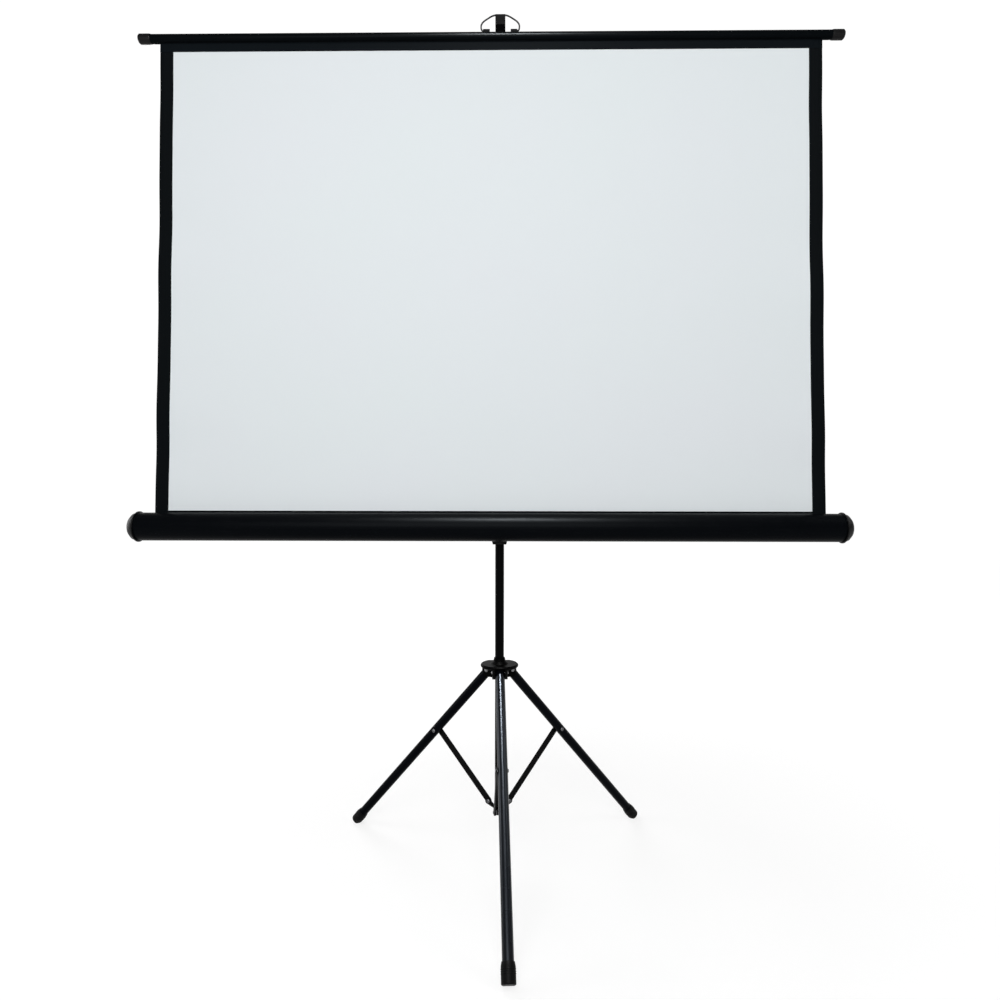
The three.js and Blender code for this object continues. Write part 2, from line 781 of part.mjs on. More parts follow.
// An end cap, turned about the case's axis from the end of the tube outwards.
function makeEndCap() {
  const spigot = caseRadius - seamStep - caseWall - gap;
  const outer = gap + flangeThickness + bevelLength;
  return turned([
    [0, outer],
    [bevelEndRadius, outer],
    [bevelKneeRadius, gap + flangeThickness + bevelKnee],
    [bevelRootRadius, gap + flangeThickness],
    [flangeRadius, gap + flangeThickness],
    [flangeRadius, gap],
    [spigot, gap],
    [spigot, -spigotDepth],
    [spigot - endCapWall, -spigotDepth],
    [spigot - endCapWall, gap + flangeThickness],
    [bevelEndRadius - endCapWall, outer - endCapWall],
    [endBossRadius, outer - endCapWall],
    [endBossRadius, outer - endBossDepth],
    [rollerPinRadius + gap, outer - endBossDepth],
    [rollerPinRadius + gap, outer - endCapWall],
    [0, outer - endCapWall],
  ], caseSides);
}

// A plug in one end of the roller, turned from the roller's end outwards.
function makeRollerPlug(profileOutside) {
  const spigot = rollerRadius - rollerWall - gap;
  const [inner, ...outside] = profileOutside;
  return turned([
    [inner, -rollerPlugDepth],
    [spigot, -rollerPlugDepth],
    [spigot, gap],
    [rollerFlangeRadius, gap],
    [rollerFlangeRadius, gap + rollerFlange],
    ...outside,
  ], smallSides);
}

function makeCase() {
  const cap = makeEndCap();
  const pinEnd = caseEnd + gap + flangeThickness + bevelLength - endCapWall - gap;
  const plugFace = rollerEnd + gap + rollerFlange;
  const pinReach = pinEnd - plugFace;
  const rightPlug = makeRollerPlug([0, [rollerPinRadius, gap + rollerFlange],
    [rollerPinRadius, gap + rollerFlange + pinReach], [0, gap + rollerFlange + pinReach]]);
  const leftPlug = makeRollerPlug([rollerPinRadius + gap, [rollerPinRadius + gap, gap + rollerFlange]]);
  const spindle = rod(rollerPinRadius, -pinEnd, -pinEnd + spindleReach, smallSides);
  const springFrom = -rollerEnd + springStart;
  const springTo = -pinEnd + spindleReach - gap;
  const spring = ring(springRadius, rollerPinRadius + gap, springFrom, springTo, smallSides);
  const tube = ring(rollerRadius, rollerRadius - rollerWall, -rollerEnd, rollerEnd, tubeSides);
  const roll = ring(rollRadius, rollerRadius + gap, -clothWidth / 2, clothWidth / 2, tubeSides);
  const atEnd = (geometry, side, end) => {
    const outwards = alongX(geometry).translate(end, 0, 0);
    return side > 0 ? outwards : outwards.rotateZ(Math.PI);
  };
  return groupAt(
    screenShift, -caseForward, caseHeight,
    piece('case_housing', makeHousing(), looks.caseBlack),
    piece('case_end_cap_left', atEnd(cap.clone(), -1, caseEnd), looks.plasticBlack),
    piece('case_end_cap_right', atEnd(cap, 1, caseEnd), looks.plasticBlack),
    piece('spring_spindle', alongX(spindle), looks.steel),
    piece('roller_spring', alongX(spring), looks.springSteel),
    piece('roller_tube', alongX(tube), looks.steel),
    piece('roller_plug_left', atEnd(leftPlug, -1, rollerEnd), looks.plasticBlack),
    piece('roller_plug_right', atEnd(rightPlug, 1, rollerEnd), looks.plasticBlack),
    piece('fabric_roll', alongX(roll), looks.cloth),
  );
}

// The stretched cloth, its side edges drawn in a little between the roller and the bar.
function makeCloth() {
  const edge = Array.from({ length: bowSteps + 1 }, (_, i) => {
    const up = i / bowSteps;
    const drawn = edgeBow * (1 - (2 * up - 1) ** 2);
    return [clothWidth / 2 - drawn, clothBottom + (clothTop - clothBottom) * up];
  });
  const outline = [...edge, ...edge.toReversed().map(([x, z]) => [-x, z])];
  const half = clothThickness / 2;
  return groupAt(screenShift, 0, 0,
    piece('screen_fabric', frontPlate(outline, -clothPlane - half, -clothPlane + half), looks.cloth));
}

// One knuckle of the bail, seated on the bar, about the bar's axis.
function makeKnuckle() {
  const seat = barRadius + gap;
  const [from, to] = [straight - knuckleSpread / 2, straight + knuckleSpread / 2];
  const outline = [
    ...arc(0, 0, seat, from, to),
    ...arc(0, knuckleRise, knuckleRadius, 2 * straight, 0),
  ];
  const hole = alongX(rod(bailWireRadius + turningGap, -knuckleWidth, 2 * knuckleWidth + knuckleInside))
    .translate(0, 0, knuckleRise);
  return cut(sidePlate(outline, knuckleInside, knuckleInside + knuckleWidth), hole);
}

function makeTopBar() {
  const barEnd = barLength / 2;
  const bar = alongX(ring(barRadius, barRadius - barWall, -barEnd, barEnd, tubeSides));
  const seat = barRadius + gap;
  const cap = turned([
    [0, barCapSeat + gap],
    [barCapNose, barCapSeat + gap],
    [barCapRadius, barCapSeat + gap - barCapBevel],
    [barCapRadius, barCapSeat + gap - barCapLength + barCapShoulder],
    [seat + gap, barCapSeat + gap - barCapLength],
    [seat, barCapSeat + gap - barCapLength],
    [seat, gap],
    [0, gap],
  ], smallSides);
  const right = alongX(cap).translate(barEnd, 0, 0);
  const knuckle = makeKnuckle();
  return groupAt(
    screenShift, -clothPlane, barHeight,
    piece('top_bar', bar, looks.satinBlack),
    piece('bar_cap_left', right.clone().rotateZ(Math.PI), looks.plasticBlack),
    piece('bar_cap_right', right, looks.plasticBlack),
    piece('bail_clip_left', knuckle.clone().translate(-screenShift - 2 * knuckleInside - knuckleWidth, 0, 0),
      looks.satinBlack),
    piece('bail_clip_right', knuckle.translate(-screenShift, 0, 0), looks.satinBlack),
  );
}

// The wire bail, about its hinge line: the ends turn inwards into the knuckles.
function makeBail() {
  const lean = radians(bailLean);
  const place = ([across, up], side) => new THREE.Vector3(
    side * across * bailHalfWidth,
    up * bailReach * Math.sin(lean),
    up * bailReach * Math.cos(lean),
  );
  const half = [[(knuckleInside + 2 * bailWireRadius) / bailHalfWidth, 0], ...bailShares];
  const path = new THREE.CatmullRomCurve3([
    ...half.map((share) => place(share, 1)),
    place([0, 1], 1),
    ...half.toReversed().map((share) => place(share, -1)),
  ]);
  const bail = geometryOf(solidOf(wire(path, bailWireRadius, bailSides, bailSteps)));
  return groupAt(0, -clothPlane, bailPivotHeight, piece('hook_bail', bail, looks.steel));
}

function makeExtension() {
  const tube = ring(extensionRadius, extensionRadius - extensionWall, extensionBottom, extensionTop, tubeSides);
  const rivetHeight = hookBottom + hookSocket / 2;
  const across = hookWidth / 2;
  const hole = alongX(rod(hookRivetRadius + gap, -hookWidth, hookWidth, rivetSides))
    .translate(0, 0, rivetHeight);
  const bushRadius = poleRadius - poleWall - gap;
  const spigot = extensionRadius - extensionWall - gap;
  const bush = turned([
    [0, extensionBottom - gap - bushHead],
    [bushRadius, extensionBottom - gap - bushHead],
    [bushRadius, extensionBottom - gap],
    [spigot, extensionBottom - gap],
    [spigot, extensionBottom + bushDepth],
    [0, extensionBottom + bushDepth],
  ], smallSides);
  const notchBottom = bailTopHeight - bailWireRadius - gap;
  // The lip stays inside the circle that the bail swings on, so the bail can turn forward over it.
  const outline = [
    [-hookBack, hookBottom],
    [hookBack, hookBottom],
    [hookBack, hookTop - hookSlope],
    [hookBack - hookSlope, hookTop],
    [-bailTopForward + notchWidth / 2, hookTop],
    [-bailTopForward + notchWidth / 2, notchBottom],
    [-bailTopForward - notchWidth / 2, notchBottom],
    [-bailTopForward - notchWidth / 2, notchBottom + hookLipRise],
    [-hookFront, notchBottom + hookLipRise],
    [-hookFront, hookBottom + hookNose],
  ];
  const head = cut(
    sidePlate(outline, -across, across),
    rod(extensionRadius + gap, hookBottom - overrun, hookBottom + hookSocket, tubeSides),
    hole,
  );
  const pin = rivet(hookRivetRadius, -across - gap, across + gap, hookRivetHead, hookRivetHead / 2);
  return groupAt(0, 0, 0,
    piece('extension_tube', cut(tube, hole), looks.satinBlack),
    piece('extension_bush', bush, looks.plasticBlack),
    piece('hook_head', head, looks.plasticBlack),
    piece('head_rivet', alongX(pin).translate(0, 0, rivetHeight), looks.steel));
}

const assembly = new THREE.Group();
assembly.add(
  ...makePole(),
  makeLowerBracket(),
  ...legAzimuths.map((_, i) => makeLeg(i)),
  makeHub(),
  makeSlider(),
  makeSaddle(),
  makeCase(),
  makeCloth(),
  makeTopBar(),
  makeBail(),
  makeExtension(),
  groupAt(0, 0, lockHeight,
    piece('extension_lock_knob', knob(extensionRadius + gap, lockBossReach + gap), looks.plasticBlack)),
);

// The origin is the middle of the bottom of the whole screen.
assembly.updateMatrixWorld(true);
const box = new THREE.Box3().setFromObject(assembly, true);
const middle = box.getCenter(new THREE.Vector3());
assembly.position.set(-middle.x, -middle.y, -box.min.z);

const group = new THREE.Group();
group.add(assembly);

export default group;
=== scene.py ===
# %% [markdown]
# # A tripod projector screen
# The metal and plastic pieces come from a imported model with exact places, and this lesson gives them their
# looks. It adds the cloth, which a rigid model can't show well, and the small trims, and then a studio to
# photograph it in. Every length is in metres. +Z is up, the viewer looks along +Y, and +X is to the viewer's
# right.

import json
import math

import bmesh
import bpy
from mathutils import Matrix, Vector


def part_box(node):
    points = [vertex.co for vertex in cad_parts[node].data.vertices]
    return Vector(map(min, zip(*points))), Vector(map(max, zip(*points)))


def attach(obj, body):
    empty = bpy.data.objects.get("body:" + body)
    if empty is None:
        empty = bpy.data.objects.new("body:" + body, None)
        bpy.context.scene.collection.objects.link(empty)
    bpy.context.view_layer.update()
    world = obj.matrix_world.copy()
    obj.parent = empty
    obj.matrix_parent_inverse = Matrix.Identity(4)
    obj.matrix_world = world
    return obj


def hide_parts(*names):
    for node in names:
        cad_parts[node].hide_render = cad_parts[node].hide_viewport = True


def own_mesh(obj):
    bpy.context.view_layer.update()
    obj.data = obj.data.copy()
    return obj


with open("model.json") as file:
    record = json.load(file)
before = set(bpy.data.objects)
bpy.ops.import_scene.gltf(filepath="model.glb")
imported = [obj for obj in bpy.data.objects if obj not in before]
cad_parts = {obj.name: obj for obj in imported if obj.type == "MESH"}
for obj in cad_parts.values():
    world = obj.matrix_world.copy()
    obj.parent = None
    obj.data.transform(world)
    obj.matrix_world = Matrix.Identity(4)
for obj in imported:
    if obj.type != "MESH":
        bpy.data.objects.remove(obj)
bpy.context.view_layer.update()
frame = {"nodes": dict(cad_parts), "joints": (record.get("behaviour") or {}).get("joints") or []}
nodes = frame["nodes"]

# %% [markdown]
# ## The camera
# A picture of a real object fixes where its camera stood. Lines that are level in the world meet on the
# horizon, so the widths of the case and the top bar tell how far away the lens was, and the three feet tell
# its height. The lens is short and the camera stands close, about 1.8 m in front of the cloth. The picture
# was cropped a little off centre, and a lens shift says that better than a tilt would, because a tilt makes
# the mast lean.

# %% Place the camera
PICTURE = 1000
SENSOR = 36.0
FOCAL = 689.1
MIDDLE_ROW = 486.7
camera_place = Vector((0.0523, -1.7717, 0.9723))
camera_yaw, camera_pitch, camera_roll = (math.radians(a) for a in (-0.69, 1.14, 0.09))

camera_data = bpy.data.cameras.new("camera")
camera_data.sensor_width = SENSOR
camera_data.lens = FOCAL / PICTURE * SENSOR
camera_data.shift_y = (MIDDLE_ROW - PICTURE / 2) / PICTURE
camera = bpy.data.objects.new("camera", camera_data)
bpy.context.scene.collection.objects.link(camera)
ahead = Vector((
    math.sin(camera_yaw) * math.cos(camera_pitch),
    math.cos(camera_yaw) * math.cos(camera_pitch),
    math.sin(camera_pitch),
))
right = Vector((math.cos(camera_yaw), -math.sin(camera_yaw), 0.0))
up = right.cross(ahead)
right, up = (
    math.cos(camera_roll) * right + math.sin(camera_roll) * up,
    math.cos(camera_roll) * up - math.sin(camera_roll) * right,
)
turn = Matrix((right, up, -ahead)).transposed().to_4x4()
camera.matrix_world = Matrix.Translation(camera_place) @ turn
bpy.context.scene.camera = camera
print("lens", round(camera_data.lens, 2), "mm")

# %% [markdown]
# ## Maths on sockets
# A finish is a small web of nodes. Written by hand, each addition takes three lines, so one class wraps a
# node's output and gives it the usual signs. `1 - mask` then adds a Math node by itself. Colours and vectors
# are kept away from it, because a Math node turns a colour grey: they go through Mix and Vector Math nodes.

# %% Wrap a socket
class Signal:
    """One output of a node. The usual signs make Math nodes from it."""

    def __init__(self, web, socket):
        self.web = web
        self.socket = socket

    def maths(self, operation, *values, clamp=False):
        settings = {"operation": operation, "use_clamp": clamp}
        return self.web.node("ShaderNodeMath", settings, dict(enumerate(values)))[0]

    def __add__(self, other):
        return self.maths("ADD", self, other)

    def __sub__(self, other):
        return self.maths("SUBTRACT", self, other)

    def __rsub__(self, other):
        return self.maths("SUBTRACT", other, self)

    def __mul__(self, other):
        return self.maths("MULTIPLY", self, other)

    __radd__ = __add__
    __rmul__ = __mul__

    def sine(self):
        return self.maths("SINE", self)

    def larger(self, other):
        return self.maths("MAXIMUM", self, other)

    def clamped(self):
        return self.maths("ADD", self, 0.0, clamp=True)

    def over(self, low, high):
        """0 below low, 1 above high, and a straight ramp between."""
        return self.maths("MULTIPLY", self - low, 1 / (high - low), clamp=True)


# %% [markdown]
# A material, the sky and a modifier's node group are each one web of nodes. Its `node` method makes any
# node: the settings are set first, because some of them change which sockets there are, and then the sockets
# get a number, a colour or another node's output.

# %% Wrap a web of nodes
class Web:
    """A node tree that starts empty. Every node in it is made by one method."""

    def __init__(self, tree):
        self.tree = tree
        self.tree.nodes.clear()

    def put(self, node, socket, value):
        """A socket gets a link from another node's output, or else a plain value."""
        if isinstance(value, Signal):
            self.tree.links.new(value.socket, node.inputs[socket])
        else:
            node.inputs[socket].default_value = value

    def node(self, kind, settings=None, values=None):
        """Makes a node and gives its outputs back."""
        made = self.tree.nodes.new(kind)
        for name, value in (settings or {}).items():
            setattr(made, name, value)
        for socket, value in (values or {}).items():
            self.put(made, socket, value)
        return [Signal(self, socket) for socket in made.outputs]

    def rays(self):
        """What kind of ray is looking, by the names that Blender gives them."""
        return {ray.socket.name: ray for ray in self.node("ShaderNodeLightPath")}


# %% [markdown]
# A finish is such a web for one material, with a Principled shader at its end. What is the same all over the
# surface is set on the shader itself, and only what changes over it is driven by nodes, which keeps a finish
# quick to bake.

# %% Wrap a material
STRETCH = 200


class Finish(Web):
    """A material with one Principled shader, whose fixed values are set on the shader's own sockets."""

    def __init__(self, name, **fixed):
        self.material = bpy.data.materials.new(name)
        self.material.use_nodes = True
        super().__init__(self.material.node_tree)
        self.shader = self.tree.nodes.new("ShaderNodeBsdfPrincipled")
        self.node("ShaderNodeOutputMaterial", None, {"Surface": Signal(self, self.shader.outputs[0])})
        for socket, value in fixed.items():
            self.put(self.shader, socket.replace("_", " "), value)

    def drive(self, socket, signal):
        """What changes over the surface feeds one of the shader's sockets."""
        self.put(self.shader, socket, signal)

    def vectors(self, operation, output, *values):
        """A Vector Math node. The output is 0 for a vector and 1 for a value."""
        settings = {"operation": operation}
        return self.node("ShaderNodeVectorMath", settings, dict(enumerate(values)))[output]

    def place(self, along=None):
        """The point on the piece at rest, in metres. Along an axis everything counts as closer."""
        point = self.node("ShaderNodeTexCoord")[3]
        if along is None:
            return point
        reach = self.vectors("DOT_PRODUCT", 1, point, along)
        shared = tuple(a * (1 - 1 / STRETCH) for a in along)
        scale = {0: shared, "Scale": reach}
        pulled = self.node("ShaderNodeVectorMath", {"operation": "SCALE"}, scale)[0]
        return self.vectors("SUBTRACT", 0, point, pulled)

    def noise(self, size, detail=2.0, rough=0.5, along=None):
        """Soft patches about that size across, as a value round a half. Along an axis they are long."""
        values = {"Vector": self.place(along), "Scale": 1 / size, "Detail": detail, "Roughness": rough}
        return self.node("ShaderNodeTexNoise", {"noise_dimensions": "3D"}, values)[0]

    def mix(self, share, first, second):
        """A colour between two colours."""
        settings = {"data_type": "RGBA"}
        return self.node("ShaderNodeMix", settings, {0: share, 6: first, 7: second})[2]

    def bump(self, height, depth):
        """Raises the surface by height times depth, for the light alone."""
        self.drive("Normal", self.node("ShaderNodeBump", None, {"Distance": depth, "Height": height})[0])


# %% [markdown]
# ## Enamel on steel
# The tubes, the struts and the bracket are steel with black enamel. Sprayed enamel isn't flat: it has a
# faint orange peel a few millimetres across, and dust lies in it as paler specks. The tubes are drawn
# through a die, which leaves fine grooves along them that the paint doesn't fill. They spread a highlight
# sideways, so a leg shows a broad streak, and they follow each piece's own length. The gloss is set below
# that of glass, because these are satin paints. The three legs wear one paint, but the front leg gets more
# gloss than the rear ones. That is a painted highlight: it gives the front leg its bright streak under these
# lamps, and it keeps the side boxes' reflections off the rear legs. Black enamel with a little blue in it also
# mirrors a lamp a little cooler, which is what the specular tint is for.

# %% Mix the enamels
CLOUD_SIZE, SPECK_SIZE, GROOVE_WIDTH, PEEL_SIZE = 0.07, 0.0011, 0.0005, 0.0035
DUST = (0.018, 0.019, 0.021)
PLAIN = (1.0, 1.0, 1.0)
UPRIGHT, LEVEL = (0.0, 0.0, 1.0), (1.0, 0.0, 0.0)
LEG_SPREAD = math.radians(42.07)
LEG_AZIMUTHS = [math.radians(a) for a in (-87, 33, 153)]


def enamel(name, colour, roughness, gloss, along=UPRIGHT, peel=0.000010, groove=0.000003, tint=PLAIN):
    """Black paint with peel, dust and rub marks. The grooves and marks run along the piece."""
    finish = Finish(name, Specular_IOR_Level=gloss, Specular_Tint=(*tint, 1))
    cloud = finish.noise(CLOUD_SIZE, detail=3.0)
    specks = finish.noise(SPECK_SIZE, detail=1.0).over(0.70, 0.78)
    grooves = finish.noise(GROOVE_WIDTH, detail=1.0, along=along)
    rubbed = (grooves.over(0.64, 0.74) * cloud.over(0.45, 0.62)).clamped()
    worn = (rubbed * 0.35 + specks * 0.25).clamped()
    finish.drive("Base Color", finish.mix(worn, (*colour, 1), (*DUST, 1)))
    finish.drive("Roughness", (roughness - 0.04 + cloud * 0.08 + worn * 0.2).clamped())
    finish.bump(finish.noise(PEEL_SIZE, detail=2.0) * (peel / groove) + grooves, groove)
    return finish.material


def leg_axis(azimuth):
    """The direction from a leg's foot up to the hub."""
    outward = math.sin(LEG_SPREAD)
    return (-math.cos(azimuth) * outward, -math.sin(azimuth) * outward, math.cos(LEG_SPREAD))


def leg_enamel(number, azimuth, gloss):
    """The legs' paint, with deeper grooves than the rest, along the leg."""
    colour, cool = (0.0014, 0.0017, 0.0027), (0.76, 0.86, 1.0)
    name, along = f"leg_enamel_{number}", leg_axis(azimuth)
    return enamel(name, colour, 0.28, gloss, along, groove=0.00004, tint=cool)


# Painted highlight: all three legs wear one paint. The front leg's higher gloss gives it its bright streak
# under these lamps, and the rear legs' low gloss keeps the side boxes' reflections off them.
LEG_HIGHLIGHT_GLOSSES = (0.24, 0.030, 0.018)
leg_enamels = [leg_enamel(i + 1, LEG_AZIMUTHS[i], LEG_HIGHLIGHT_GLOSSES[i]) for i in range(3)]

# %% Mix the paints of the mast, the case and the bar
CASE_TINT, BAR_TINT = (0.86, 0.94, 1.0), (0.88, 0.96, 1.0)
mast_enamel = enamel("mast_enamel", (0.0012, 0.0012, 0.0013), 0.36, 0.025)
upper_enamel = enamel("upper_enamel", (0.010, 0.010, 0.011), 0.30, 0.4)
strut_enamel = enamel("strut_enamel", (0.0012, 0.0012, 0.0013), 0.40, 0.05)
hub_enamel = enamel("hub_enamel", (0.0012, 0.0012, 0.0013), 0.40, 0.012, peel=0.00004)
case_enamel = enamel("case_enamel", (0.0012, 0.0016, 0.0024), 0.36, 0.026, LEVEL, tint=CASE_TINT)
bar_enamel = enamel("bar_enamel", (0.0018, 0.0026, 0.0034), 0.32, 0.016, LEVEL, tint=BAR_TINT)
wire_enamel = enamel("wire_enamel", (0.010, 0.010, 0.011), 0.34, 0.25)
print("enamels", len(leg_enamels) + 7)

# %% [markdown]
# ## Moulded plastic and rubber
# The end caps, knobs, hook and slider are injection moulded in black. A mould is spark-eroded, so the skin
# has an even pebble of half a millimetre and no gloss coat. The feet are a softer rubber that has picked up
# dust near the floor, so a height in metres mixes the dust in: the piece stands still in its own space, and
# so does the dust line. The knobs and the collar are handled most, so they are a little paler and glossier
# than the caps.

# %% Mix plastic and rubber
def moulded(name, colour, pale, roughness, gloss, pebble=0.0006, depth=0.00001):
    """Plastic with an even pebble, faint flow clouds and paler scuffs."""
    finish = Finish(name, Specular_IOR_Level=gloss)
    cloud = finish.noise(0.02, detail=2.0)
    scuffs = (finish.noise(0.0035, detail=3.0, rough=0.7).over(0.62, 0.72) * cloud.over(0.45, 0.6)).clamped()
    finish.drive("Base Color", finish.mix(scuffs * 0.3, (*colour, 1), (*pale, 1)))
    finish.drive("Roughness", (roughness - 0.06 + cloud * 0.12 + scuffs * 0.15).clamped())
    values = {"Vector": finish.place(), "Scale": 1 / pebble}
    pebbles = finish.node("ShaderNodeTexVoronoi", {"feature": "SMOOTH_F1"}, values)[0]
    finish.bump(pebbles, depth)
    return finish


knob_plastic = moulded("knob_plastic", (0.012, 0.012, 0.013), (0.04, 0.04, 0.042), 0.38, 0.4).material
plastic = moulded("moulded_plastic", (0.0022, 0.0022, 0.0025), (0.022, 0.022, 0.023), 0.40, 0.12).material
hook_plastic = moulded("hook_plastic", (0.0034, 0.0034, 0.0040), (0.026, 0.026, 0.027), 0.50, 0.003).material
rubber = moulded("foot_rubber", (0.0030, 0.0030, 0.0033), (0.026, 0.025, 0.024), 0.46, 0.05, 0.0009, 0.00002)
foot_rubber = rubber.material
print("plastics", 4)

# %% Dust the feet
DUST_LOW, DUST_HIGH = 0.002, 0.016
FLOOR_DUST = (0.10, 0.096, 0.088, 1)
height = rubber.node("ShaderNodeSeparateXYZ", None, {0: rubber.place()})[2]
dusted = (1 - height.over(DUST_LOW, DUST_HIGH)) * rubber.noise(0.004, detail=3.0).over(0.4, 0.7)
clean = Signal(rubber, rubber.shader.inputs["Base Color"].links[0].from_socket)
rubber.drive("Base Color", rubber.mix(dusted * 0.4, clean, FLOOR_DUST))
print("dust up to", DUST_HIGH, "m")

# %% [markdown]
# ## Bare metal
# Rivets and pins are zinc plated, the roller is galvanised, and the springs are oiled steel. Bare metal gets
# its look from what it mirrors, so its colour is pale and the roughness does the work. Plating is cloudy,
# and a little grime sits in the clouds.

# %% Mix the metals
GRAIN_SIZE, GRAIN_DEPTH = 0.0002, 0.000002


def metal(name, colour, grime, roughness, size):
    """Bare metal with clouds of plating and a fine grain."""
    finish = Finish(name, Metallic=1.0)
    cloud = finish.noise(size, detail=3.0, rough=0.6)
    finish.drive("Base Color", finish.mix(cloud.over(0.35, 0.7), (*colour, 1), (*grime, 1)))
    finish.drive("Roughness", (roughness + (cloud - 0.5) * 0.3).clamped())
    finish.bump(finish.noise(GRAIN_SIZE, detail=1.0), GRAIN_DEPTH)
    return finish.material


zinc = metal("zinc_plate", (0.26, 0.263, 0.27), (0.15, 0.15, 0.155), 0.42, 0.003)
dull_zinc = metal("dull_zinc", (0.14, 0.14, 0.145), (0.06, 0.06, 0.065), 0.50, 0.003)
galvanised = metal("galvanised_tube", (0.50, 0.51, 0.53), (0.33, 0.34, 0.36), 0.42, 0.012)
spring_steel = metal("spring_steel", (0.26, 0.27, 0.29), (0.12, 0.12, 0.13), 0.30, 0.004)
print("metals", 4)

# %% [markdown]
# ## Screen cloth
# A projection cloth is a woven glass base with a matt white coat on its face, a black border printed round
# the field, and a black coat on its back that keeps light from coming through. The coat nearly fills the
# weave, so only a fine grid of threads is left, about half a millimetre apart. Two waves at right angles
# make that grid for the bump, and wide faint clouds keep a square metre of white from looking like a flat
# fill.

# %% Mix the cloth finishes
THREAD = 0.00055


def weave(finish):
    """Two crossing sets of threads, as a height."""
    across, _, upward = finish.node("ShaderNodeSeparateXYZ", None, {0: finish.place()})
    weft, warp = ((part * (2 * math.pi / THREAD)).sine() for part in (across, upward))
    return weft.larger(warp)


def coated(name, colour, other, roughness, sheen, depth, gloss=0.012):
    """A coated weave whose colour drifts a little between two close tints."""
    finish = Finish(name, Specular_IOR_Level=gloss, Sheen_Weight=sheen, Sheen_Roughness=0.5)
    drift = finish.noise(0.45, detail=2.0).over(0.3, 0.7)
    fibres = finish.noise(0.0016, detail=2.0)
    tint = finish.mix(drift, (*colour, 1), (*other, 1))
    finish.drive("Base Color", finish.mix(fibres * 0.08, tint, (*(c * 0.7 for c in colour), 1)))
    finish.drive("Roughness", (roughness + (fibres - 0.5) * 0.1).clamped())
    finish.bump(weave(finish) * 0.5 + fibres, depth)
    return finish.material


WHITE_TINTS = (0.778, 0.830, 0.848), (0.784, 0.824, 0.852)
BORDER_TINTS = (0.0034, 0.0046, 0.0056), (0.0030, 0.0042, 0.0050)
BACK_TINTS = (0.030, 0.030, 0.032), (0.024, 0.024, 0.026)
HEM_TINTS = (0.0056, 0.0078, 0.0098), (0.0050, 0.0070, 0.0090)
white_face = coated("white_face", *WHITE_TINTS, 0.92, 0.0, 0.000018)
black_border = coated("black_border", *BORDER_TINTS, 0.72, 0.0, 0.00002)
black_back = coated("black_back", *BACK_TINTS, 0.80, 0.02, 0.00003, 0.2)
hem_cloth = coated("hem_cloth", *HEM_TINTS, 0.62, 0.0, 0.00003, 0.003)
print("cloth finishes", 4)

# %% [markdown]
# ## Dress the metal and plastic pieces
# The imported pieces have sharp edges, and a sharp edge never catches the light. On the real ones a press or a
# mould leaves a small radius. Three modifiers do that and leave the meshes alone: Weld joins the loose
# triangles, Decimate merges those that lie flat, and Bevel rounds what is left. A short node group then
# shades everything smooth, except across sharp edges, so that a tube of 24 sides looks round. Last, each
# corner's normal is weighted by the area of the faces round it, or else the narrow bevel at a tube's end
# would tilt the shading along the whole tube.

# %% Make the shading group
def shading_group(limit):
    """Shades faces smooth, and keeps edges sharper than the limit."""
    group = bpy.data.node_groups.new("shade_by_angle", "GeometryNodeTree")
    for direction in ("INPUT", "OUTPUT"):
        group.interface.new_socket("Geometry", in_out=direction, socket_type="NodeSocketGeometry")
    web = Web(group)
    shape = web.node("NodeGroupInput")[0]
    shape = web.node("GeometryNodeRemoveAttribute", None, {0: shape, "Name": "custom_normal"})[0]
    shape = web.node("GeometryNodeSetShadeSmooth", None, {0: shape})[0]
    angle = web.node("GeometryNodeInputMeshEdgeAngle")[0]
    less = {"data_type": "FLOAT", "operation": "LESS_THAN"}
    blunt = web.node("FunctionNodeCompare", less, {"A": angle, "B": limit})[0]
    edges = {0: shape, "Shade Smooth": blunt}
    shape = web.node("GeometryNodeSetShadeSmooth", {"domain": "EDGE"}, edges)[0]
    web.node("NodeGroupOutput", None, {0: shape})
    return group


SHARP = 32
by_angle = shading_group(math.radians(SHARP))
print("edges stay sharp above", SHARP, "degrees")

# %% Soften the edges
WELD_GAP = 0.00001
FLAT_ANGLE, BEVEL_ANGLE = math.radians(1), math.radians(40)
AREA_WEIGHT = 80


def soften(piece, radius):
    """Welds, flattens and bevels a piece for show, and shades it by angle."""
    weld = piece.modifiers.new("weld", "WELD")
    weld.merge_threshold = WELD_GAP
    flat = piece.modifiers.new("flat", "DECIMATE")
    flat.decimate_type, flat.angle_limit = "DISSOLVE", FLAT_ANGLE
    if radius:
        bevel = piece.modifiers.new("edge", "BEVEL")
        bevel.width, bevel.segments, bevel.limit_method = radius, 2, "ANGLE"
        bevel.angle_limit, bevel.harden_normals = BEVEL_ANGLE, False
    piece.modifiers.new("shade", "NODES").node_group = by_angle
    even = piece.modifiers.new("even", "WEIGHTED_NORMAL")
    even.mode, even.weight, even.keep_sharp = "FACE_AREA", AREA_WEIGHT, True


# %% [markdown]
# One table says which finish each piece gets, and how large its edge radius is. The wire, the rivets, pins
# and springs, and the roller get no radius: they are round, or their edges are too small to see.

# %% Put the finishes on
def numbered(name, last=3):
    return [f"{name}_{i}" for i in range(1, last + 1)]


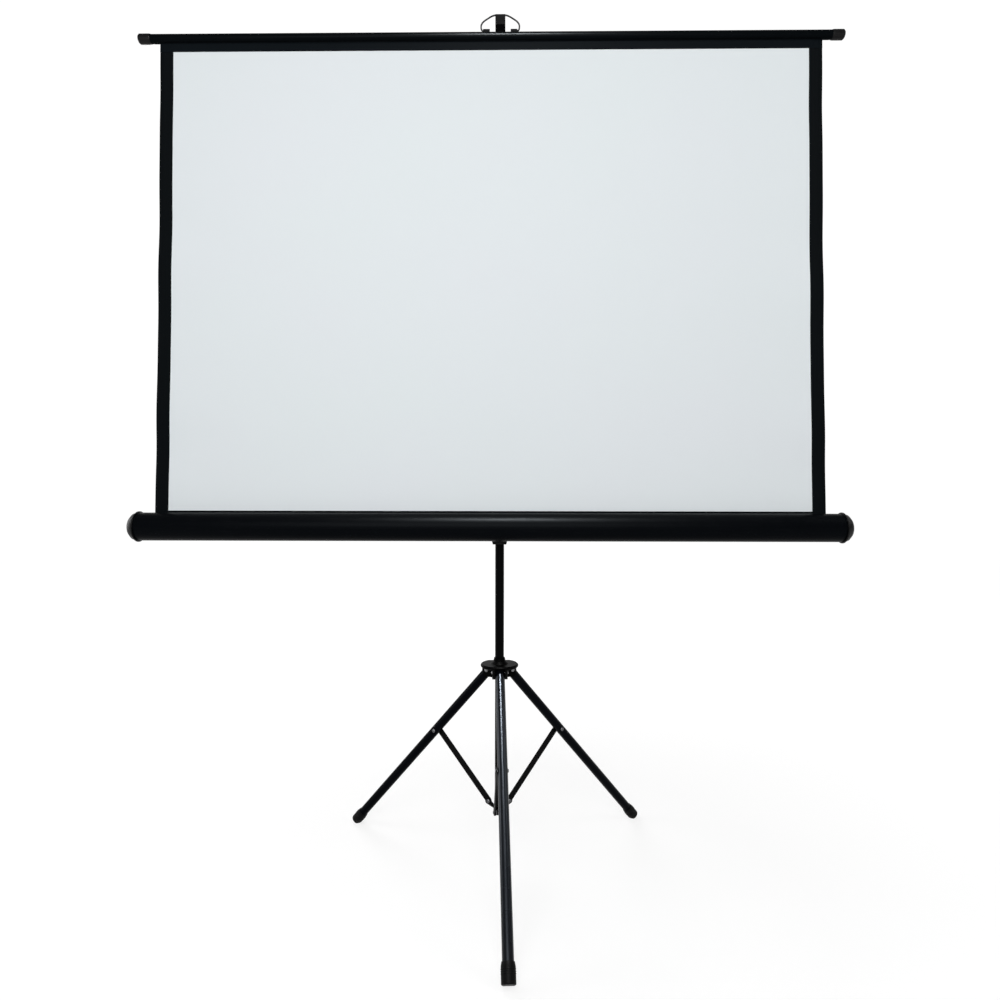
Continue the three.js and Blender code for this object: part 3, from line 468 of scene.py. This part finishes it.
LOOKS = [
    *((leg_enamels[i], 0.0003, [f"leg_tube_{i + 1}"]) for i in range(3)),
    (mast_enamel, 0.0003, ["main_tube"]),
    (upper_enamel, 0.0003, ["extension_tube"]),
    (strut_enamel, 0.0005, [*numbered("strut"), "lower_bracket", "case_saddle"]),
    (hub_enamel, 0.0011, ["leg_hub"]),
    (case_enamel, 0.0002, ["case_housing"]),
    (bar_enamel, 0.0003, ["top_bar"]),
    (wire_enamel, 0.0, ["hook_bail"]),
    (plastic, 0.0006, ["case_end_cap_left", "case_end_cap_right"]),
    (plastic, 0.0006, ["bar_cap_left", "bar_cap_right"]),
    (plastic, 0.0008, ["case_slider"]),
    (knob_plastic, 0.0004, ["pole_plug", "pole_collar", "extension_bush", "case_trigger"]),
    (knob_plastic, 0.0008, ["hub_lock_knob", "extension_lock_knob"]),
    (knob_plastic, 0.0003, ["roller_plug_left", "roller_plug_right"]),
    (hook_plastic, 0.0016, ["hook_head"]),
    (hook_plastic, 0.0010, ["bail_clip_left", "bail_clip_right"]),
    (foot_rubber, 0.0008, numbered("foot_cap")),
    (zinc, 0.0, [*numbered("hub_pin"), *numbered("saddle_rivet", 2), "pivot_bolt"]),
    (zinc, 0.0, ["trigger_pin", "spring_spindle", "head_rivet"]),
    (dull_zinc, 0.0, [*numbered("bracket_rivet"), *numbered("strut_rivet")]),
    (dull_zinc, 0.0, numbered("leg_rivet")),
    (galvanised, 0.0, ["roller_tube"]),
    (spring_steel, 0.0, ["roller_spring", "trigger_spring"]),
]
dressed = set()
for finish, radius, names in LOOKS:
    for name in names:
        piece = nodes[name]
        for place in piece.material_slots:
            place.material = finish
        soften(piece, radius)
        dressed.add(name)
print("dressed", len(dressed), "left", sorted(set(nodes) - dressed))

# %% [markdown]
# ## Places on the screen
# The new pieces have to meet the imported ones, so their places are worked out from the boxes of those pieces:
# the axis of the case, the plane that the cloth hangs in, and the top bar.

# %% Measure the frame
def middle(name):
    low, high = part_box(name)
    return (low + high) / 2


def half_size(name):
    low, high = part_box(name)
    return (high - low) / 2


roller_place, roll_radius = middle("roller_tube"), half_size("fabric_roll").z
case_low, case_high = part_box("case_housing")
case_radius = middle("case_housing").z - case_low.z
cloth_low, cloth_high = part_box("screen_fabric")
cloth_y = middle("screen_fabric").y
bar_place, bar_radius = middle("top_bar"), half_size("top_bar").z
cloth_half = half_size("screen_fabric").x
print("case radius", round(case_radius, 4), "cloth width", round(cloth_half * 2, 4))

# %% [markdown]
# ## Helpers for new pieces
# A new piece is a list of corners and faces. One helper makes the object, gives it its finish and lets it
# ride on a body of the frame, so that it moves with the joints.

# %% Make a piece from corners
def make_piece(name, corners, faces, body, finish):
    """An object made of corners and faces, which rides on a body."""
    mesh = bpy.data.meshes.new(name)
    mesh.from_pydata([tuple(c) for c in corners], [], faces)
    mesh.materials.append(finish)
    mesh.validate()
    tidy = bmesh.new()
    tidy.from_mesh(mesh)
    bmesh.ops.recalc_face_normals(tidy, faces=tidy.faces)
    tidy.to_mesh(mesh)
    tidy.free()
    piece = bpy.data.objects.new(name, mesh)
    bpy.context.scene.collection.objects.link(piece)
    piece.modifiers.new("shade", "NODES").node_group = by_angle
    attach(piece, body)
    return piece


# %% [markdown]
# Two more make the usual forms: a turned piece, which is a profile swept round an axis, and a strip, which
# is an outline drawn along a line. Where metal is turned over into a lip, that outline is a small circle.

# %% Turn a profile and draw a strip
def rings_to_faces(count, around, closed):
    """Faces between rings of corners, each ring joined on round the next."""
    faces = []
    for ring in range(count if closed else count - 1):
        for k in range(around):
            a, b = ring * around, (ring + 1) % count * around
            faces.append((a + k, a + (k + 1) % around, b + (k + 1) % around, b + k))
    return faces


def turned(name, profile, place, along, body, finish, around=48):
    """A closed profile of (radius, distance) pairs turned about a line through place."""
    axis = Vector(along).normalized()
    side = axis.orthogonal().normalized()
    other = axis.cross(side)
    corners = []
    for radius, distance in profile:
        for k in range(around):
            angle = 2 * math.pi * k / around
            reach = math.cos(angle) * side + math.sin(angle) * other
            corners.append(Vector(place) + axis * distance + reach * radius)
    return make_piece(name, corners, rings_to_faces(len(profile), around, True), body, finish)


def strip(name, outline, start, end, body, finish):
    """An outline of (y, z) pairs drawn along X from start to end, closed at both ends."""
    around = len(outline)
    corners = [(x, y, z) for x in (start, end) for y, z in outline]
    ends = [tuple(range(around)), tuple(range(around, 2 * around))]
    return make_piece(name, corners, rings_to_faces(2, around, False) + ends, body, finish)


LIP_RADIUS, LIP_STEPS = 0.0011, 12


def rolled_edge(y, z):
    """The round outline of an edge that is turned over."""
    angles = [2 * math.pi * k / LIP_STEPS for k in range(LIP_STEPS)]
    return [(y + LIP_RADIUS * math.cos(a), z + LIP_RADIUS * math.sin(a)) for a in angles]


# %% [markdown]
# ## The stretched cloth
# The real sheet is one weave, 1778 mm wide, printed white with a black border 35 mm wide at each side. It is
# pulled between the roller and the top bar, so it is almost flat. Pulling a sheet lengthwise draws its
# middle in by some millimetres and leaves long shallow ripples beside the free edges. A simulation of so
# tight a sheet shows nothing more than that, so a grid shaped by two short formulas is the better way: it is
# exact, quick and the same each time. A thickness comes from a Solidify modifier, which also gives the back
# its own black finish.

# %% Weave the sheet
WHITE_HALF = 0.8535
WHITE_LOW, WHITE_HIGH = 0.9440, 2.1810
TUCK = 0.006
EDGE_BOW = cloth_half * 0.0023
CLOTH_THICK = 0.0005
RIPPLE, RIPPLE_FROM = 0.0016, 0.72
RIPPLE_LOW, RIPPLE_HIGH, RIPPLE_FADE = 0.98, 2.17, 0.15
LONG_WAVE, SHORT_WAVE, SIDE_SHIFT = 19.0, 31.0, 1.1


def ramp(value):
    return max(0.0, min(1.0, value))


def cloth_point(across, z):
    """A point of the sheet, where across is the distance from its middle when it is cut."""
    share = (z - cloth_low.z) / (cloth_high.z - cloth_low.z)
    drawn = EDGE_BOW * 4 * share * (1 - share)
    x = bar_place.x + across * (1 - drawn / cloth_half)
    free = ramp((z - RIPPLE_LOW) / RIPPLE_FADE) * ramp((RIPPLE_HIGH - z) / RIPPLE_FADE)
    beside = max(0.0, abs(across) / cloth_half - RIPPLE_FROM) / (1 - RIPPLE_FROM)
    shift = SIDE_SHIFT if across > 0 else 0.0
    wave = math.sin(z * LONG_WAVE + shift) + 0.5 * math.sin(z * SHORT_WAVE + across)
    return (x, cloth_y + RIPPLE * free * beside ** 1.5 * wave, z)


# %% Lay out its corners
WIDE_COLUMNS, ROWS = 6, 60
FINE_FROM, FINE_STEP, FINE_COLUMNS = 0.60, 0.032, 8
SELVEDGE = 0.012
BORDER_ROW = 0.925
columns = sorted({-cloth_half, cloth_half, -WHITE_HALF, WHITE_HALF}
                 | {cloth_half * (2 * i / WIDE_COLUMNS - 1) for i in range(1, WIDE_COLUMNS)}
                 | {side * (FINE_FROM + FINE_STEP * i) for side in (-1, 1) for i in range(FINE_COLUMNS)}
                 | {side * (cloth_half - SELVEDGE) for side in (-1, 1)})
sheet_top = WHITE_HIGH + TUCK
rows = sorted({cloth_low.z, BORDER_ROW, WHITE_LOW, WHITE_HIGH, sheet_top}
              | {WHITE_LOW + (WHITE_HIGH - WHITE_LOW) * i / ROWS for i in range(1, ROWS)})
corners = [cloth_point(x, z) for z in rows for x in columns]
faces, printed = [], []
for r in range(len(rows) - 1):
    for c in range(len(columns) - 1):
        a = r * len(columns) + c
        faces.append((a, a + 1, a + len(columns) + 1, a + len(columns)))
        inside = -WHITE_HALF <= columns[c] < WHITE_HALF and WHITE_LOW <= rows[r] < WHITE_HIGH
        printed.append(0 if inside else 1)
print("sheet", len(columns), "by", len(rows), "corners")

# %% Print the border and hang the sheet
cloth_mesh = bpy.data.meshes.new("screen_cloth")
cloth_mesh.from_pydata(corners, [], faces)
for finish in (white_face, black_border, black_back, black_back):
    cloth_mesh.materials.append(finish)
for face, number in zip(cloth_mesh.polygons, printed):
    face.material_index, face.use_smooth = number, True
cloth = bpy.data.objects.new("screen_cloth", cloth_mesh)
bpy.context.scene.collection.objects.link(cloth)
thickness = cloth.modifiers.new("thickness", "SOLIDIFY")
thickness.thickness, thickness.offset = CLOTH_THICK, 0.0
thickness.material_offset, thickness.material_offset_rim = 2, 2
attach(cloth, "case")
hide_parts("screen_fabric")
print("front faces look along", [round(v) for v in cloth_mesh.polygons[0].normal])

# %% [markdown]
# When the screen is let down, the sheet winds on to the roller inside the case. A mesh can't wind, but from
# outside nothing shows except that the sheet gets shorter. Here the share of its height that it would keep
# with the bar down is worked out from the lowering joint's travel, so that the upper end of the white would
# keep up with the bar. The sheet gets its own mesh, but it is not flattened here.

# %% Work out the share it keeps
lowering = next(j for j in frame["joints"] if j["name"] == "screen_lower")
travel = lowering["range_m"][1]
left_over = 1 - travel / (WHITE_HIGH - cloth_low.z)
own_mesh(cloth)
print("keeps", round(left_over, 4), "of its height")

# %% [markdown]
# ## The hem
# At the top the cloth is folded back on itself and welded into a band 24 mm deep, which slides into a
# channel on the underside of the bar. It is a separate piece here, because it keeps its depth while the
# sheet below it gets shorter. It is a folded strip with the sheet's end between its two layers.

# %% Fold the hem
HEM_LAYER, HEM_STEPS = 0.00062, 48
SEAM_LOW, SEAM_HIGH = 0.0012, 0.0036
FOLD_DEPTH, FOLD_TIP, IN_CHANNEL = 0.002, 0.0005, 0.0004
hem_top = bar_place.z - bar_radius + IN_CHANNEL
heights = (WHITE_HIGH, WHITE_HIGH + SEAM_LOW, WHITE_HIGH + SEAM_HIGH, hem_top - FOLD_DEPTH)
hem_line = [(cloth_y - HEM_LAYER, z) for z in heights]
hem_line += [(cloth_y - HEM_LAYER * 0.7, hem_top - FOLD_TIP), (cloth_y, hem_top)]
hem_line += [(2 * cloth_y - y, z) for y, z in reversed(hem_line[:-1])]
corners = []
for i in range(HEM_STEPS + 1):
    x = bar_place.x + cloth_half * (2 * i / HEM_STEPS - 1)
    corners += [(x, y, z) for y, z in hem_line]
faces = []
for i in range(HEM_STEPS):
    for k in range(len(hem_line) - 1):
        a, b = i * len(hem_line) + k, (i + 1) * len(hem_line) + k
        faces.append((a, b, b + 1, a + 1))
hem = make_piece("cloth_hem", corners, faces, "bar", hem_cloth)
hem_thick = hem.modifiers.new("thickness", "SOLIDIFY")
hem_thick.thickness, hem_thick.offset = CLOTH_THICK, 0.0
print("hem", round(hem_top - WHITE_HIGH, 4), "m deep")

# %% [markdown]
# The channel's two lips pinch the hem along the whole bar. They are thin rolled edges, so a small round
# outline drawn along the bar is enough.

# %% Add the lips of the channel
CHANNEL_HALF, CHANNEL_RISE, CHANNEL_LENGTH = 0.0022, 0.0002, 1.81
start, end = (bar_place.x + side * CHANNEL_LENGTH / 2 for side in (-1, 1))
for side, name in ((-1, "channel_lip_front"), (1, "channel_lip_back")):
    outline = rolled_edge(cloth_y + side * CHANNEL_HALF, bar_place.z - bar_radius + CHANNEL_RISE)
    strip(name, outline, start, end, "bar", bar_enamel)
print("channel", CHANNEL_LENGTH, "m long")

# %% [markdown]
# ## The wound cloth
# Five turns stay on the roller when the screen is up, so that the pull never reaches the fixing. They are a
# spiral: the radius grows by one thickness of cloth and a little air in each turn, and it ends where the
# sheet leaves the roller.

# %% Wind the turns
TURNS, TURN_STEPS = 5, 40
TURN_THICK = 0.0004
inner = half_size("roller_tube").z + TURN_THICK
outer = roll_radius - TURN_THICK / 2
steps = TURNS * TURN_STEPS
spiral, length = [], 0.0
for i in range(steps + 1):
    share = i / steps
    angle = 2 * math.pi * TURNS * (share - 1)
    radius = inner + (outer - inner) * share
    spiral.append((roller_place.y + radius * math.cos(angle), roller_place.z + radius * math.sin(angle)))
    if i:
        length += math.dist(spiral[i], spiral[i - 1])
corners = [(bar_place.x + side * cloth_half, y, z) for side in (-1, 1) for y, z in spiral]
around = len(spiral)
faces = [(k, k + 1, around + k + 1, around + k) for k in range(around - 1)]
wound = make_piece("wound_cloth", corners, faces, "roller", black_back)
wound_thick = wound.modifiers.new("thickness", "SOLIDIFY")
wound_thick.thickness, wound_thick.offset = TURN_THICK, 0.0
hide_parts("fabric_roll")
print("wound length", round(length, 3), "m")

# %% [markdown]
# ## Trims on the case
# Where the cloth comes out, the steel is turned over into two rolled lips, so that it doesn't cut the cloth.
# Each end cap is held by a screw in a shallow round dish, with a raised ring round the face.

# %% Roll the lips of the slot
SLOT_HALF, LIP_SINK, LIP_INSET = 0.0040, 0.0008, 0.0005
start, end = case_low.x + LIP_INSET, case_high.x - LIP_INSET
for side, name in ((-1, "slot_lip_front"), (1, "slot_lip_back")):
    y = cloth_y + side * SLOT_HALF
    z = roller_place.z + math.sqrt(case_radius ** 2 - (y - roller_place.y) ** 2)
    strip(name, rolled_edge(y, z - LIP_SINK), start, end, "case", case_enamel)
print("slot", 2 * SLOT_HALF, "m wide")

# %% Finish the end caps
CAP_RING = [(0.0215, 0.0), (0.0222, 0.0011), (0.0232, 0.0014), (0.0240, 0.0008), (0.0242, 0.0),
            (0.0228, -0.0006)]
SCREW = [(0.0001, 0.0022), (0.0018, 0.0021), (0.0034, 0.0016), (0.0044, 0.0006), (0.0046, 0.0),
         (0.0046, -0.0006), (0.0001, -0.0006)]
DISH = [(0.0050, 0.0), (0.0056, 0.0009), (0.0064, 0.0011), (0.0072, 0.0007), (0.0076, 0.0),
        (0.0062, -0.0006)]
for side, name in ((-1, "left"), (1, "right")):
    low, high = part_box(f"case_end_cap_{name}")
    face = Vector((high.x if side > 0 else low.x, roller_place.y, roller_place.z))
    turned(f"end_cap_ring_{name}", CAP_RING, face, (side, 0, 0), "case", plastic)
    turned(f"end_cap_dish_{name}", DISH, face, (side, 0, 0), "case", plastic, 32)
    turned(f"end_cap_screw_{name}", SCREW, face, (side, 0, 0), "case", dull_zinc, 24)
    print("end cap", name, "at", round(face.x, 4))

# %% [markdown]
# ## Trims on the feet and knobs
# Each foot has three moulded ribs under its collar, which give the hand and the floor some grip. They run
# round the leg's own axis, so the line between the leg's pin and its foot gives their direction. Each knob
# has a lid pressed into its face.

# %% Rib the feet
LEG_LENGTH = 0.68341
RIBS, FIRST_RIB, RIB_STEP = 3, 0.0270, 0.0040
RIB = [(0.01535, -0.0009), (0.01590, -0.0006), (0.01605, 0.0), (0.01590, 0.0006), (0.01535, 0.0009)]
for number, azimuth in enumerate(LEG_AZIMUTHS, 1):
    pin, body = middle(f"hub_pin_{number}"), f"leg_{number}"
    down = -Vector(leg_axis(azimuth))
    for k in range(RIBS):
        ring = pin + down * (LEG_LENGTH - FIRST_RIB + RIB_STEP * k)
        turned(f"foot_rib_{number}_{k + 1}", RIB, ring, down, body, foot_rubber)
print("ribs", RIBS * len(LEG_AZIMUTHS))

# %% Press the lids into the knobs
LID = [(0.0001, 0.0012), (0.0050, 0.0011), (0.0078, 0.0007), (0.0086, 0.0), (0.0086, -0.0008),
       (0.0001, -0.0008)]
HUB_TURN = math.radians(3)
mast = middle("main_tube")
KNOBS = ("hub_lock_knob", "hub_lock", HUB_TURN), ("extension_lock_knob", "extension_lock", 0.0)
for name, body, tilt in KNOBS:
    back = Vector((-math.sin(tilt), math.cos(tilt), 0))
    farthest = max((c.co for c in nodes[name].data.vertices), key=lambda c: c.dot(back))
    face = Vector((mast.x, mast.y, middle(name).z)) + back * (farthest - mast).dot(back)
    turned(f"{name}_lid", LID, face, back, body, knob_plastic, 32)
    print(name, "lid at", round(face.y, 4))

# %% [markdown]
# ## The studio
# The floor and the backdrop are white to the camera and to anything that mirrors them. To the rest of the
# light they are plain pale surfaces, so the object is lit at an ordinary level and the floor keeps its
# shadow. The floor under the object catches the lamps and glows less, and it glows more with the distance,
# so that no horizon shows.

# %% Lay the floor and hang the backdrop
def grey(level):
    return (level, level, level, 1)


PALE = 0.30
NEAR, FAR = 0.8, 3.5


def stage_sheet(name, corners, near, far):
    """A pale sheet that glows for the camera, and for rays that a mirror or a glass sends on."""
    white = Finish(name, Base_Color=grey(PALE), Roughness=0.9, Specular_IOR_Level=0.0,
                   Emission_Strength=1.0)
    rays = white.rays()
    seen = rays["Is Camera Ray"].larger(rays["Is Glossy Ray"]).larger(rays["Is Transmission Ray"])
    away = white.vectors("LENGTH", 1, white.place()).over(NEAR, FAR)
    glow = white.mix(away, grey(near), grey(far))
    white.drive("Emission Color", white.mix(seen, grey(0.0), glow))
    mesh = bpy.data.meshes.new(name)
    mesh.from_pydata(corners, [], [(0, 1, 2, 3)])
    mesh.materials.append(white.material)
    sheet = bpy.data.objects.new(name, mesh)
    bpy.context.scene.collection.objects.link(sheet)


SIDE, UNDER, BEHIND, LOW, HIGH = 30, -0.0002, 9, -0.1, 12
FLOOR = [(x * SIDE, y * SIDE, UNDER) for x, y in ((-1, -1), (1, -1), (1, 1), (-1, 1))]
BACKDROP = [(x * SIDE, BEHIND, z) for x, z in ((-1, LOW), (1, LOW), (1, HIGH), (-1, HIGH))]
stage_sheet("floor", FLOOR, near=0.73, far=0.96)
stage_sheet("backdrop", BACKDROP, near=0.96, far=0.96)
print("floor", 2 * SIDE, "m wide")

# %% [markdown]
# Beyond them is a plain world. The camera sees it white too, and it lights the object softly.

# %% Set the sky
SKY_LIGHT = 0.30
world = bpy.data.worlds.new("sky")
bpy.context.scene.world = world
world.use_nodes = True
sky = Web(world.node_tree)
strength = SKY_LIGHT + (1 - SKY_LIGHT) * sky.rays()["Is Camera Ray"]
light = sky.node("ShaderNodeBackground", None, {"Color": grey(1.0), "Strength": strength})[0]
sky.node("ShaderNodeOutputWorld", None, {"Surface": light})
print("sky light", SKY_LIGHT)

# %% [markdown]
# A wide soft box high in front lights the cloth evenly. Two boxes at the sides, the right one higher, draw
# the edges of the legs. The small ceiling lamp is what black enamel needs: it is bright and near, and its
# reflection is the streak at the top of the front leg and the gleam on the bar. Its diffuse light is turned
# off, so that it doesn't burn out the cloth. One more box behind shows the mast, the knobs and the dark back
# of the cloth from the rear.

# %% Hang the lamps
def lamp(name, place, target, size, power, diffuse=True):
    """A rectangular lamp at a place, turned to a target, with its power in watts."""
    data = bpy.data.lights.new(name, "AREA")
    data.shape, data.size, data.size_y = "RECTANGLE", *size
    data.energy = power
    hung = bpy.data.objects.new(name, data)
    hung.location = place
    hung.rotation_euler = (Vector(target) - Vector(place)).to_track_quat("-Z", "Y").to_euler()
    hung.visible_diffuse = diffuse
    bpy.context.scene.collection.objects.link(hung)


lamp("front_box", (-0.28, -3.10, 2.18), (0.0, 0.0, 1.35), (2.4, 1.8), 85)
lamp("left_box", (-2.9, 0.35, 1.4), (0.0, 0.0, 0.9), (1.0, 1.6), 26)
lamp("right_box", (2.6, -0.40, 2.3), (0.0, 0.0, 0.6), (0.8, 1.2), 13)
lamp("ceiling", (0.04, -0.74, 2.78), (0.03, 0.0, 0.8), (0.3, 0.3), 135, diffuse=False)
lamp("back_box", (-1.3, 3.0, 2.5), (0.0, 0.0, 1.3), (1.8, 1.4), 60)
print("lamps", len(bpy.data.lights))

# %% [markdown]
# The picture is shown as it is rendered. The Standard view leaves each colour as it was written, where the
# others would turn the white of the cloth grey.

# %% Set the view
bpy.context.scene.view_settings.view_transform = "Standard"
print("view", bpy.context.scene.view_settings.view_transform)
